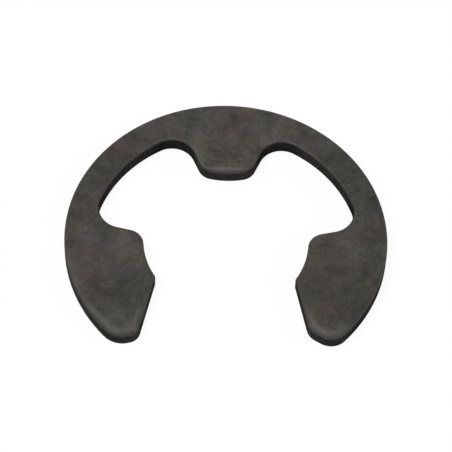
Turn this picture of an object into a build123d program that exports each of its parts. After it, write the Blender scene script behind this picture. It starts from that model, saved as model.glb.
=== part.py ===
"""E clip: a retaining ring stamped from spring steel strip, pushed sideways into a shaft groove.

Frame: Z is the axis of the shaft. The underside lies on Z = 0, and the side that the punch met, with
its rolled-over edge, faces +Z. The mouth between the two jaws opens towards -Y. The tab stands out
from the closed side of the rim, at +Y, and points back at the shaft. Lengths are in millimetres and
angles in degrees.
"""
import os
from math import cos, radians, sin, sqrt, tan

from build123d import *

os.makedirs("parts", exist_ok=True)

# ---- Driving dimensions ------------------------------------------------------------------------

thickness = 1.5
groove_diameter = 15.0      # floor of the shaft groove, where both jaws and the tab bear
rim_diameter = 29.4         # outside circle
rim_offset = 0.3            # that circle's centre stands this far from the shaft, to the closed side
rim_band = 2.5              # width of the spring band beside the windows

jaw_grip = 1.2              # each bead reaches this far in from the side of the groove
bead_radius = 0.3           # the nose that snaps past the shaft
lead_in = 13.0              # the mouth widens outwards by this angle on each side
end_angle = 48.3            # the jaws end where the outside circle is this far below the X axis

# The blunt end of each jaw rises from the rim to the mouth. The trimming punches of the two ends
# differ a little: the right jaw ends in more of a point.
right_end_slope = 30.0
right_end_radius = 1.7      # at the rim
right_mouth_radius = 1.6    # at the mouth
left_end_slope = 15.0
left_end_radius = 2.2
left_mouth_radius = 1.2

shoulder_height = 0.6       # top of each jaw above the shaft axis, measured at the seat
shoulder_slope = 12.5       # the shoulders rise towards the rim
shoulder_radius = 1.5       # inner corner of each shoulder
window_radius = 2.15        # corners of the two windows between jaw, rim and tab

tab_tip_width = 4.6         # across the tip, before its corners are rounded
tab_tip_radius = 1.5
tab_crown = 0.35            # the middle of the tip stands this far proud of its corners
tab_flare = 24.0            # each side of the tab leans out by this angle towards the rim
tab_grip = 0.2              # on a free clip the tip stands this far inside the seat circle

edge_roll = 0.25            # the punch draws the upper edge down into a small radius
edge_break = 0.1            # tumbled lower edge

# ---- Sizes that follow -------------------------------------------------------------------------

seat_circle = groove_diameter / 2
rim_circle = rim_diameter / 2
window_circle = rim_circle - rim_band

bead_x = seat_circle - jaw_grip
bead_y = -sqrt(seat_circle**2 - bead_x**2)
tip_y = seat_circle - tab_grip
tip_corner = (tab_tip_width / 2, tip_y + tab_crown)
tab_root_y = window_circle + rim_band / 2
tab_root = (tip_corner[0] + (tab_root_y - tip_corner[1]) * tan(radians(tab_flare)), tab_root_y)
shoulder_rise = tan(radians(shoulder_slope))
shoulder_root = (window_circle, shoulder_height + (window_circle - seat_circle) * shoulder_rise)


def mirrored(point):
    return (-point[0], point[1])


def straight(point, angle):
    """An endless straight edge of the profile, through a point."""
    return Axis((*point, 0), (cos(radians(angle)), sin(radians(angle)), 0))


def jaw_corners(end_slope):
    """Corners of the right jaw's open end, from the outside circle to inside the seat.

    They are the end corner, the mouth corner and a point on the lead-in past the bead, which the
    seat circle then cuts away.
    """
    end_corner = (
        rim_circle * cos(radians(end_angle)),
        rim_offset - rim_circle * sin(radians(end_angle)),
    )
    lead_edge = straight((bead_x, bead_y), 90 + lead_in)
    mouth_corner = straight(end_corner, 180 - end_slope).intersect(lead_edge)
    past_bead = (bead_x + bead_y * tan(radians(lead_in)), 0)
    return [end_corner, (mouth_corner.X, mouth_corner.Y), past_bead]


def kept_within(length, *roundings):
    """Radii at the two ends of an edge, smaller where the edge is too short for both.

    Each rounding is a radius and the angle that the outline turns by at that corner.
    """
    needed = sum(radius * tan(radians(turn / 2)) for radius, turn in roundings)
    share = min(1, 0.95 * length / needed)
    return [radius * share for radius, turn in roundings]


def end_radii(jaw, end_slope, end_radius, mouth_radius):
    """Radii of a jaw's end corner and mouth corner."""
    at_end = (end_radius, 90 - end_angle + end_slope)
    at_mouth = (mouth_radius, 90 - lead_in - end_slope)
    return kept_within((Vector(jaw[0]) - Vector(jaw[1])).length, at_end, at_mouth)


right_jaw = jaw_corners(right_end_slope)
left_jaw = [mirrored(corner) for corner in jaw_corners(left_end_slope)]
right_radii = end_radii(right_jaw, right_end_slope, right_end_radius, right_mouth_radius)
left_radii = end_radii(left_jaw, left_end_slope, left_end_radius, left_mouth_radius)
shoulder_fillet, window_fillet = kept_within(
    window_circle - seat_circle,
    (shoulder_radius, 90 + shoulder_slope),
    (window_radius, 90 - shoulder_slope),
)

# ---- Profile -----------------------------------------------------------------------------------

# The space inside the spring band and above the shoulders of the jaws.
with BuildSketch() as windows:
    Circle(window_circle)
    with BuildLine():
        centre = (0, shoulder_height - seat_circle * shoulder_rise)
        beyond = (rim_circle, centre[1] + rim_circle * shoulder_rise)
        above = (rim_circle, rim_circle)
        Polyline(centre, beyond, above, mirrored(above), mirrored(beyond), close=True)
    make_face(mode=Mode.INTERSECT)

# The tab, from its crowned tip to its root in the middle of the band.
with BuildSketch() as tab:
    with BuildLine():
        ThreePointArc(mirrored(tip_corner), (0, tip_y), tip_corner)
        Polyline(tip_corner, tab_root, mirrored(tab_root), mirrored(tip_corner))
    make_face()


with BuildSketch() as profile:
    with BuildLine():
        CenterArc((0, rim_offset), rim_circle, -end_angle, 180 + 2 * end_angle)
        Polyline(*right_jaw, *reversed(left_jaw))
    make_face()
    Circle(seat_circle, mode=Mode.SUBTRACT)
    add(windows.sketch, mode=Mode.SUBTRACT)
    add(tab.sketch)

    paired_corners = (
        ((bead_x, bead_y), bead_radius),
        ((seat_circle, shoulder_height), shoulder_fillet),
        (shoulder_root, window_fillet),
        (tab_root, window_fillet),
        (tip_corner, tab_tip_radius),
    )
    for corner, radius in paired_corners:
        for place in (corner, mirrored(corner)):
            fillet(profile.vertices().sort_by_distance(place)[0], radius)
    for jaw, radii in ((right_jaw, right_radii), (left_jaw, left_radii)):
        for corner, radius in zip(jaw, radii):
            fillet(profile.vertices().sort_by_distance(corner)[0], radius)

# ---- Clip --------------------------------------------------------------------------------------

with BuildPart() as e_clip:
    add(profile.sketch)
    extrude(amount=thickness)
    fillet(e_clip.faces().sort_by(Axis.Z)[-1].edges(), edge_roll)
    fillet(e_clip.faces().sort_by(Axis.Z)[0].edges(), edge_break)

e_clip.part.label = "e_clip"
export_step(e_clip.part, "parts/e_clip.step")
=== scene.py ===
from math import atan2, cos, radians, sin, sqrt

import bpy
from mathutils import Matrix, Vector
from mathutils.bvhtree import BVHTree


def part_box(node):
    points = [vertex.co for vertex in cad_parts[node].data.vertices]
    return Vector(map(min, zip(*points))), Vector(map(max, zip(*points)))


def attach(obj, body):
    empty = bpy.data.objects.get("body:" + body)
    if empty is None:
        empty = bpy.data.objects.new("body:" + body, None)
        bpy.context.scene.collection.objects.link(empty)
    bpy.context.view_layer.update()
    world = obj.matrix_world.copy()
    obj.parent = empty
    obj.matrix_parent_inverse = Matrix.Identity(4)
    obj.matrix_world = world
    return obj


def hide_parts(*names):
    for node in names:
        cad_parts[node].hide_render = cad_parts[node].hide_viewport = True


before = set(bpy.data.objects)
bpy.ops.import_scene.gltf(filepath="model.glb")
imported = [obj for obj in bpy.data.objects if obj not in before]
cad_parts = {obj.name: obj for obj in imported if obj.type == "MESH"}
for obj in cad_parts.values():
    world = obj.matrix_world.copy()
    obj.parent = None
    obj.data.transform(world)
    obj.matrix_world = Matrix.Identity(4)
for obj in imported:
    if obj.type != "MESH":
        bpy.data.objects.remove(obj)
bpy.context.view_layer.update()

MM = 0.001

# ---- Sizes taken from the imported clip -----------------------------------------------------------

CLIP_LOW, CLIP_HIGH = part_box("e_clip")
THICKNESS = CLIP_HIGH.z
RIM_RADIUS = CLIP_HIGH.x
RIM_CENTRE = Vector((0, 0.3)) * MM
PUNCHED_ROLL = 0.25 * MM     # the roll-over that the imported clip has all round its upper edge

# ---- Modelling ----------------------------------------------------------------------------------

MESH_PITCH = 0.2 * MM        # spacing of the cuts over the whole clip
CUT_SNAP = 0.02 * MM         # a cut this near to a point goes through the point
WELD = 0.0005 * MM
SAME_PLANE = radians(0.05)
FLAT = 0.99999               # height of the normal, above which a face lies flat
UPRIGHT = 0.05               # and below which it stands upright
WALL_STEEPNESS = cos(radians(58))
SMOOTH_ANGLE = radians(35)

# Width and depth of the roll-over, which the punch draws down more where the metal stands free.
WINDOW_ROLL = Vector((0.2, 0.2)) * MM
JAW_ROLL = Vector((0.4, 0.28)) * MM
RIM_ROLL = Vector((0.6, 0.25)) * MM
JAW_END_ROLL = Vector((1.0, 0.55)) * MM
TAB_TIP_ROLL = Vector((0.75, 0.45)) * MM

RIM_STARTS = 12.9 * MM       # from its centre, where the outline begins to belong to the rim
JAW_STARTS = 2.5 * MM        # along Y, where the roll-over begins to change to that of the jaws
JAW_WHOLE = -0.5 * MM        # and where it has changed

# Where the edge is drawn down most: the middle of the place, its reach along the edge, the size.
DRAWN_PLACES = (
    (Vector((-9.1, -9.6)) * MM, 5.0 * MM, JAW_END_ROLL),
    (Vector((8.7, -9.8)) * MM, 3.8 * MM, JAW_END_ROLL),
    (Vector((0.0, 7.3)) * MM, 3.0 * MM, TAB_TIP_ROLL),
)
DRAWN_FALL = 1.4             # above 1, the middle of such a place keeps the full size

# How closely other walls stand round each wall, which the finish paints on as shade
SHELTER_RAYS = 5             # to each side of straight ahead
SHELTER_SWEEP = radians(75)
SHELTER_REACH = 6 * MM
SHELTER_BAND = 0.4 * MM      # points this near to a wall are given its shelter
SHELTER_STEP = 0.1 * MM      # points of the outline closer than this share one value
RAY_START = 0.01 * MM        # rays start this far out, to miss the wall that they leave


def select_only(piece):
    """Makes a piece the only one that the next operator acts on."""
    bpy.ops.object.select_all(action="DESELECT")
    piece.select_set(True)
    bpy.context.view_layer.objects.active = piece


def cut_across(low, high, axis):
    """Cuts the whole piece by evenly spaced planes across an axis."""
    normal = Vector((0, 0, 0))
    normal[axis] = 1
    count = int((high - low) / MESH_PITCH)
    for step in range(1, count + 1):
        place = Vector((0, 0, 0))
        place[axis] = low + (step - 0.5) * MESH_PITCH
        bpy.ops.mesh.select_all(action="SELECT")
        bpy.ops.mesh.bisect(plane_co=place, plane_no=normal, threshold=CUT_SNAP)


def welded_clip():
    """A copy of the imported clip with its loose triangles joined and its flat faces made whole."""
    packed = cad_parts["e_clip"]
    clip = packed.copy()
    clip.data = packed.data.copy()
    clip.name = clip.data.name = "spring_steel_clip"
    bpy.context.scene.collection.objects.link(clip)
    for key in [key for key in clip.keys() if key.startswith("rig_")]:
        del clip[key]
    select_only(clip)
    bpy.ops.object.mode_set(mode="EDIT")
    bpy.ops.mesh.select_all(action="SELECT")
    bpy.ops.mesh.remove_doubles(threshold=WELD)
    bpy.ops.mesh.select_all(action="DESELECT")
    bpy.ops.object.mode_set(mode="OBJECT")
    for face in clip.data.polygons:
        face.select = abs(face.normal.z) > FLAT
    bpy.ops.object.mode_set(mode="EDIT")
    bpy.ops.mesh.dissolve_limited(angle_limit=SAME_PLANE)
    cut_across(CLIP_LOW.x, CLIP_HIGH.x, 0)
    cut_across(CLIP_LOW.y, CLIP_HIGH.y, 1)
    bpy.ops.object.mode_set(mode="OBJECT")
    return clip


def wall_tree(clip):
    """A search tree of the clip's upright walls."""
    walls = [tuple(face.vertices) for face in clip.data.polygons if abs(face.normal.z) < UPRIGHT]
    return BVHTree.FromPolygons([v.co for v in clip.data.vertices], walls)


def smooth_step(share):
    """A share between 0 and 1, eased at both ends."""
    share = min(1.0, max(0.0, share))
    return share * share * (3 - 2 * share)


def rolled_over(foot):
    """Width and depth of the roll-over at a point of the outline, and how far it is a drawn place."""
    on_jaw = smooth_step((JAW_STARTS - foot.y) / (JAW_STARTS - JAW_WHOLE))
    size = WINDOW_ROLL.lerp(JAW_ROLL, on_jaw)
    from_centre = (foot.xy - RIM_CENTRE).length
    on_rim = smooth_step((from_centre - RIM_STARTS) / (RIM_RADIUS - RIM_STARTS))
    size = size.lerp(RIM_ROLL, on_rim)
    most = 0.0
    for middle, reach, drawn_size in DRAWN_PLACES:
        share = smooth_step(DRAWN_FALL * (1 - (foot.xy - middle).length / reach))
        size = size.lerp(drawn_size, share)
        most = max(most, share)
    return size.x, size.y, most


def shelter(walls, foot, normal):
    """How closely other walls stand round a point of the outline, from 0 in the open."""
    facing = atan2(normal.y, normal.x)
    hidden = total = 0.0
    for step in range(-SHELTER_RAYS, SHELTER_RAYS + 1):
        turn = step * SHELTER_SWEEP / SHELTER_RAYS
        ray = Vector((cos(facing + turn), sin(facing + turn), 0))
        distance = walls.ray_cast(foot + ray * RAY_START, ray, SHELTER_REACH)[3]
        weight = cos(turn)
        total += weight
        if distance is not None:
            hidden += weight * (1 - distance / SHELTER_REACH)
    return hidden / total


def shape_edges(clip):
    """Draws the upper edge down, and notes what the finish needs to know about each point.

    edge_distance is how many roll-over widths the point lies in from the wall, drawn is how far the
    edge beside it was drawn down, and shelter_shade is how closely other walls stand round it, which
    the finish paints on the walls as shade.
    """
    walls = wall_tree(clip)
    shelter_shade = {}
    notes = {
        name: clip.data.attributes.new(name, "FLOAT", "POINT").data
        for name in ("edge_distance", "drawn", "shelter_shade")
    }
    for vertex in clip.data.vertices:
        middle = Vector((*vertex.co.xy, THICKNESS / 2))
        foot, normal, _, distance = walls.find_nearest(middle)
        width, depth, share = rolled_over(foot)
        notes["edge_distance"][vertex.index].value = distance / width
        notes["drawn"][vertex.index].value = share
        # shelter by other walls, painted on the walls as shade
        if distance < SHELTER_BAND:
            spot = (round(foot.x / SHELTER_STEP), round(foot.y / SHELTER_STEP))
            if spot not in shelter_shade:
                shelter_shade[spot] = shelter(walls, foot, normal)
            notes["shelter_shade"][vertex.index].value = shelter_shade[spot]
        if vertex.co.z > THICKNESS - PUNCHED_ROLL - WELD and distance < width:
            fallen = 1 - sqrt(max(0.0, 1 - (1 - distance / width) ** 2))
            vertex.co.z = THICKNESS - depth * fallen
    clip.data.update()


clip = welded_clip()
shape_edges(clip)
select_only(clip)
bpy.ops.object.shade_smooth_by_angle(angle=SMOOTH_ANGLE)
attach(clip, "root")
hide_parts("e_clip")

# ---- Finish -------------------------------------------------------------------------------------

BROWN_GREY = (0.0545, 0.0435, 0.0335)
GREEN_GREY = (0.0385, 0.0395, 0.0365)
OPEN_WALL = (0.043, 0.043, 0.040)
# painted shade: the colour of walls where other walls stand close round them
PAINTED_SHADE_WALL = (0.017, 0.017, 0.017)
WARM_CAST = (1.05, 1.0, 0.95)      # what the clouds multiply a wall's colour by
COOL_CAST = (0.95, 1.0, 1.0)
# bare metal of the worn specks, also the colour of the painted highlight on the drawn edges
BARE_AND_HIGHLIGHT = (0.124, 0.113, 0.096)
TAN_STAIN = (0.135, 0.085, 0.052)

# How far the clouds lighten or darken each finish.
FACE_CLOUDING = 0.62
WALL_CLOUDING = 0.35

# Sizes in millimetres of the blotches in each layer of the coat.
HUE_SIZE = 2.6
CLOUD_SIZE = 3.4
GRAIN_SIZE = 0.3
SHEEN_SIZE = 1.1
WAVE_SIZE = 1.6
CRYSTAL_SIZE = 0.16
RUB_SIZE = 0.9
SPECK_SIZE = 0.15
CLUSTER_SIZE = 2.2

WAVE_HEIGHT = 0.02 * MM
CRYSTAL_HEIGHT = 0.006 * MM

# Broad places, partly uneven coat and partly painted light and shade: middle and reach in
# millimetres, and how much lighter or darker.
UNEVEN_COAT_AND_PAINTED_LIGHT = (
    ((0.0, 11.0, 1.5), 9.0, 1.17),
    ((9.5, -5.0, 1.5), 7.0, 0.70),
    ((-11.5, 7.0, 1.5), 8.0, 0.77),
    ((12.5, 7.0, 1.5), 8.0, 0.88),
    ((-9.3, -2.0, 1.5), 3.0, 1.12),
)

# The stain on the tip of the tab, in millimetres.
STAIN_MIDDLE = (0.1, 8.15, 1.5)
STAIN_REACH = 1.1
STAIN_BLOTCH = 0.7


def new_material(name):
    """A new material, its tree and its shader."""
    material = bpy.data.materials.new(name)
    material.use_nodes = True
    return material, material.node_tree, material.node_tree.nodes["Principled BSDF"]


def node(tree, kind, inputs=None, **settings):
    """A shader node with its settings, whose inputs are plain values or other nodes' outputs."""
    made = tree.nodes.new("ShaderNode" + kind)
    for name, value in settings.items():
        setattr(made, name, value)
    for name, value in (inputs or {}).items():
        if isinstance(value, bpy.types.NodeSocket):
            tree.links.new(value, made.inputs[name])
        else:
            made.inputs[name].default_value = value
    return made


def noise(tree, place, size, detail=2.0, roughness=0.5, distortion=0.0):
    """Cloudy noise whose blotches are about this many millimetres across, from 0 to 1."""
    values = {
        "Vector": place,
        "Scale": 1 / size,
        "Detail": detail,
        "Roughness": roughness,
        "Distortion": distortion,
    }
    return node(tree, "TexNoise", values).outputs["Fac"]


def between(tree, value, low, high, to_low=0.0, to_high=1.0):
    """A value stretched from one range to another with soft ends."""
    values = {"Value": value, "From Min": low, "From Max": high, "To Min": to_low, "To Max": to_high}
    stretched = node(tree, "MapRange", values, interpolation_type="SMOOTHSTEP")
    return stretched.outputs["Result"]


def combined(tree, operation, first, second):
    """Two values put together, as by MAXIMUM or MULTIPLY."""
    return node(tree, "Math", {0: first, 1: second}, operation=operation).outputs["Value"]


def product(tree, first, *others):
    """Values multiplied together."""
    for other in others:
        first = combined(tree, "MULTIPLY", first, other)
    return first


def in_millimetres(tree, place):
    """A place on the clip, from metres to millimetres."""
    return node(tree, "Mapping", {"Vector": place, "Scale": (1 / MM,) * 3}).outputs["Vector"]


def tinted(tree, share, first, second):
    """A colour between two others."""
    mixed = node(tree, "Mix", data_type="RGBA")
    for number, value in ((0, share), (6, first), (7, second)):
        socket = mixed.inputs[number]
        if isinstance(value, bpy.types.NodeSocket):
            tree.links.new(value, socket)
        elif isinstance(value, float):
            socket.default_value = value
        else:
            socket.default_value = (*value, 1)
    return mixed.outputs[2]


def nearness(tree, place, middle, reach):
    """1 at a point of the clip, falling softly to 0 at a reach from it, both in millimetres."""
    far = node(tree, "VectorMath", {0: place, 1: middle}, operation="DISTANCE").outputs["Value"]
    return between(tree, far, 0.0, reach, 1.0, 0.0)


def noted(tree, name):
    """What shape_edges noted about each point."""
    return node(tree, "Attribute", attribute_name=name).outputs["Fac"]



def phosphate_coat():
    """A node group: the clouded tone, with broad places of painted light and shade, the uneven sheen
    and the crystalline skin of the phosphate.
    """
    tree = bpy.data.node_groups.new("phosphate coat", "ShaderNodeTree")
    tree.interface.new_socket("Warm tone", in_out="INPUT", socket_type="NodeSocketColor")
    tree.interface.new_socket("Cool tone", in_out="INPUT", socket_type="NodeSocketColor")
    tree.interface.new_socket("Clouding", in_out="INPUT", socket_type="NodeSocketFloat")
    tree.interface.new_socket("Coat", in_out="OUTPUT", socket_type="NodeSocketColor")
    tree.interface.new_socket("Dullness", in_out="OUTPUT", socket_type="NodeSocketFloat")
    tree.interface.new_socket("Skin", in_out="OUTPUT", socket_type="NodeSocketVector")
    given = tree.nodes.new("NodeGroupInput").outputs
    result = tree.nodes.new("NodeGroupOutput").inputs

    place = in_millimetres(tree, node(tree, "TexCoord").outputs["Object"])
    hue = between(tree, noise(tree, place, HUE_SIZE, 4.0, 0.8, 0.4), 0.3, 0.7, 0.1, 0.85)
    cloud = between(tree, noise(tree, place, CLOUD_SIZE, 5.0, 0.85, 0.3), 0.25, 0.75, -1.0, 1.0)
    tone = node(tree, "Math", {0: cloud, 1: given["Clouding"], 2: 1.0}, operation="MULTIPLY_ADD")
    tone = tone.outputs["Value"]
    # broad places painted lighter and darker, partly uneven coat and partly painted light and shade
    for middle, reach, strength in UNEVEN_COAT_AND_PAINTED_LIGHT:
        near = nearness(tree, place, middle, reach)
        uneven = node(tree, "MapRange", {"Value": near, "To Min": 1.0, "To Max": strength})
        tone = product(tree, tone, uneven.outputs["Result"])
    grain = between(tree, noise(tree, place, GRAIN_SIZE, 3.0, 0.7), 0.3, 0.7, 0.84, 1.16)
    tone = product(tree, tone, grain)
    coat = tinted(tree, hue, given["Cool tone"], given["Warm tone"])
    clouded = node(tree, "VectorMath", {0: coat, "Scale": tone}, operation="SCALE")
    tree.links.new(clouded.outputs[0], result["Coat"])
    tree.links.new(noise(tree, place, SHEEN_SIZE, 3.0, 0.7), result["Dullness"])

    waves = noise(tree, place, WAVE_SIZE, 2.0, 0.5)
    wavy = node(tree, "Bump", {"Height": waves, "Strength": 0.25, "Distance": WAVE_HEIGHT})
    crystals = noise(tree, place, CRYSTAL_SIZE, 3.0, 0.7)
    grown = {
        "Height": crystals,
        "Strength": 0.35,
        "Distance": CRYSTAL_HEIGHT,
        "Normal": wavy.outputs["Normal"],
    }
    tree.links.new(node(tree, "Bump", grown).outputs["Normal"], result["Skin"])
    return tree


def coated(tree, coat, warm, cool, clouding):
    """Places the phosphate coat in a material, in the tones that its surface has."""
    placed = node(tree, "Group", node_tree=coat)
    placed.inputs["Warm tone"].default_value = (*warm, 1)
    placed.inputs["Cool tone"].default_value = (*cool, 1)
    placed.inputs["Clouding"].default_value = clouding
    return placed.outputs


def wall_colour_and_shade(tree):
    """The walls' colour, darkened by painted shade where other walls stand close round them."""
    share = between(tree, noted(tree, "shelter_shade"), 0.01, 0.2)
    return tinted(tree, share, OPEN_WALL, PAINTED_SHADE_WALL)


def stained(tree, place, colour):
    """The tan stain on the tip of the tab."""
    blotch = between(tree, noise(tree, place, STAIN_BLOTCH, 3.0, 0.7), 0.42, 0.62)
    stain = product(tree, nearness(tree, place, STAIN_MIDDLE, STAIN_REACH), blotch, 0.6)
    return tinted(tree, stain, colour, TAN_STAIN)


def highlight_and_wear(tree, place, colour):
    """A painted highlight along the crest above the drawn edges, partly worn lighter, and bare specks
    in clusters beside any edge.
    """
    edge = noted(tree, "edge_distance")
    # painted highlight on the roll-over of the drawn edges, partly worn metal
    highlight_ridge = product(tree, between(tree, edge, 0.2, 0.5), between(tree, edge, 0.6, 1.0, 1.0, 0.0))
    patchy = between(tree, noise(tree, place, RUB_SIZE, 3.0, 0.7), 0.3, 0.6, 0.35, 1.0)
    painted_highlight = product(tree, highlight_ridge, noted(tree, "drawn"), patchy, 0.42)
    colour = tinted(tree, painted_highlight, colour, BARE_AND_HIGHLIGHT)

    specks = between(tree, noise(tree, place, SPECK_SIZE, 1.0, 0.5), 0.6, 0.72)
    beside = product(tree, between(tree, edge, 0.7, 1.2), between(tree, edge, 1.4, 2.4, 1.0, 0.0))
    clusters = between(tree, noise(tree, place, CLUSTER_SIZE, 1.0, 0.5), 0.45, 0.65)
    return tinted(tree, product(tree, specks, beside, clusters, 0.5), colour, BARE_AND_HIGHLIGHT)


def face_finish(coat):
    """The flat sides and the roll-over of the clip, which darkens towards the wall, taking on the
    wall colour and its painted shade.
    """
    material, tree, shader = new_material("phosphated face")
    outputs = coated(tree, coat, BROWN_GREY, GREEN_GREY, FACE_CLOUDING)
    objects = node(tree, "TexCoord").outputs
    place = in_millimetres(tree, objects["Object"])
    colour = highlight_and_wear(tree, place, stained(tree, place, outputs["Coat"]))

    height = node(tree, "SeparateXYZ", {"Vector": objects["Normal"]}).outputs["Z"]
    flat = node(tree, "Math", {0: height}, operation="ABSOLUTE").outputs["Value"]
    # towards the wall the roll takes on the wall colour, painted shade included
    towards_wall_and_shade = between(tree, flat, 0.68, 0.98, 1.0, 0.0)
    colour = tinted(tree, towards_wall_and_shade, colour, wall_colour_and_shade(tree))
    tree.links.new(colour, shader.inputs["Base Color"])
    roughness = between(tree, outputs["Dullness"], 0.3, 0.7, 0.42, 0.55)
    tree.links.new(roughness, shader.inputs["Roughness"])
    tree.links.new(outputs["Skin"], shader.inputs["Normal"])
    shader.inputs["Specular IOR Level"].default_value = 0.2
    return material


def wall_finish(coat):
    """The sheared walls, dry and without gloss, with painted shade where other walls stand close
    round them.
    """
    material, tree, shader = new_material("sheared wall")
    outputs = coated(tree, coat, WARM_CAST, COOL_CAST, WALL_CLOUDING)
    factors = {0: outputs["Coat"], 1: wall_colour_and_shade(tree)}
    mixed = node(tree, "VectorMath", factors, operation="MULTIPLY")
    tree.links.new(mixed.outputs[0], shader.inputs["Base Color"])
    tree.links.new(outputs["Skin"], shader.inputs["Normal"])
    shader.inputs["Roughness"].default_value = 0.9
    shader.inputs["Specular IOR Level"].default_value = 0.0
    return material


def finish_clip(clip):
    """Gives the walls their own finish, and the rest that of the flat sides."""
    coat = phosphate_coat()
    clip.data.materials.clear()
    clip.data.materials.append(face_finish(coat))
    clip.data.materials.append(wall_finish(coat))
    for face in clip.data.polygons:
        face.material_index = int(abs(face.normal.z) < WALL_STEEPNESS)


finish_clip(clip)

# ---- Floor, light and camera --------------------------------------------------------------------

FLOOR_SIZE = 4
FLOOR_DROP = 0.02 * MM       # the clip stands this far above the floor, so that they don't flicker
SHOWN_WHITE = 0.92           # share of the floor's white that no shadow reaches
FLOOR_BOUNCE = 0.45          # how pale the floor is for the light that it throws back
AMBIENT = 0.3                # strength of the studio's even light

# Each softbox: its place in metres, its width, its power in watts.
OVERHEAD_SOFTBOX = (Vector((-0.18, -0.07, 0.46)), 0.26, 1.85)
LOW_FILL = (Vector((0.36, -0.05, 0.13)), 0.2, 0.3)

CLIP_MIDDLE = Vector((0.003, 2.366, 0)) * MM
VIEW_ELEVATION = radians(56.976)
VIEW_AZIMUTH = radians(1.160)
VIEW_ROLL = radians(2.245)
VIEW_DISTANCE = 250 * MM
LENS = 216.94
NEAREST_SEEN = 10 * MM


def seen_rays(tree):
    """1 for the rays that see a surface itself: from the camera, in a reflection or through glass."""
    rays = node(tree, "LightPath").outputs
    mirrored = combined(tree, "MAXIMUM", rays["Is Camera Ray"], rays["Is Glossy Ray"])
    return combined(tree, "MAXIMUM", mirrored, rays["Is Transmission Ray"])


def white_floor():
    """A wide sheet of white paper under the clip."""
    bpy.ops.mesh.primitive_plane_add(size=FLOOR_SIZE, location=(0, 0, -FLOOR_DROP))
    floor = bpy.context.object
    floor.name = "floor"
    material, tree, shader = new_material("white paper")
    shader.inputs["Roughness"].default_value = 1.0
    shader.inputs["Specular IOR Level"].default_value = 0.0
    shown = seen_rays(tree)
    tone = tinted(tree, shown, (FLOOR_BOUNCE,) * 3, (1.0 - SHOWN_WHITE,) * 3)
    tree.links.new(tone, shader.inputs["Base Color"])
    shader.inputs["Emission Color"].default_value = (1, 1, 1, 1)
    tree.links.new(product(tree, shown, SHOWN_WHITE), shader.inputs["Emission Strength"])
    floor.data.materials.append(material)


def studio_world():
    """A dim even studio that is seen as white."""
    world = bpy.data.worlds.new("studio")
    bpy.context.scene.world = world
    world.use_nodes = True
    tree = world.node_tree
    strength = node(tree, "MapRange", {"Value": seen_rays(tree), "To Min": AMBIENT, "To Max": 1.0})
    tree.links.new(strength.outputs["Result"], tree.nodes["Background"].inputs["Strength"])
    tree.nodes["Background"].inputs["Color"].default_value = (1, 1, 1, 1)


def softbox(name, place, size, power):
    """A square lamp that faces the clip."""
    lamp = bpy.data.lights.new(name, "AREA")
    lamp.shape = "SQUARE"
    lamp.size = size
    lamp.energy = power
    holder = bpy.data.objects.new(name, lamp)
    bpy.context.scene.collection.objects.link(holder)
    holder.location = place
    holder.rotation_mode = "QUATERNION"
    holder.rotation_quaternion = place.to_track_quat("Z", "Y")


def place_camera():
    """The camera, which looks down on the clip from the side of its mouth."""
    camera = bpy.data.objects.new("camera", bpy.data.cameras.new("camera"))
    bpy.context.scene.collection.objects.link(camera)
    bpy.context.scene.camera = camera
    camera.data.lens = LENS
    camera.data.clip_start = NEAREST_SEEN
    a, e, r = VIEW_AZIMUTH, VIEW_ELEVATION, VIEW_ROLL
    back = Vector((-sin(a) * cos(e), -cos(a) * cos(e), sin(e)))
    right = Vector((cos(a), -sin(a), 0))
    up = back.cross(right)
    turned_right = cos(r) * right + sin(r) * up
    turned_up = cos(r) * up - sin(r) * right
    axes = Matrix((turned_right, turned_up, back)).transposed()
    camera.matrix_world = Matrix.Translation(CLIP_MIDDLE + back * VIEW_DISTANCE) @ axes.to_4x4()


bpy.context.scene.view_settings.view_transform = "Standard"
white_floor()
studio_world()
softbox("overhead softbox", *OVERHEAD_SOFTBOX)
softbox("low fill", *LOW_FILL)
place_camera()
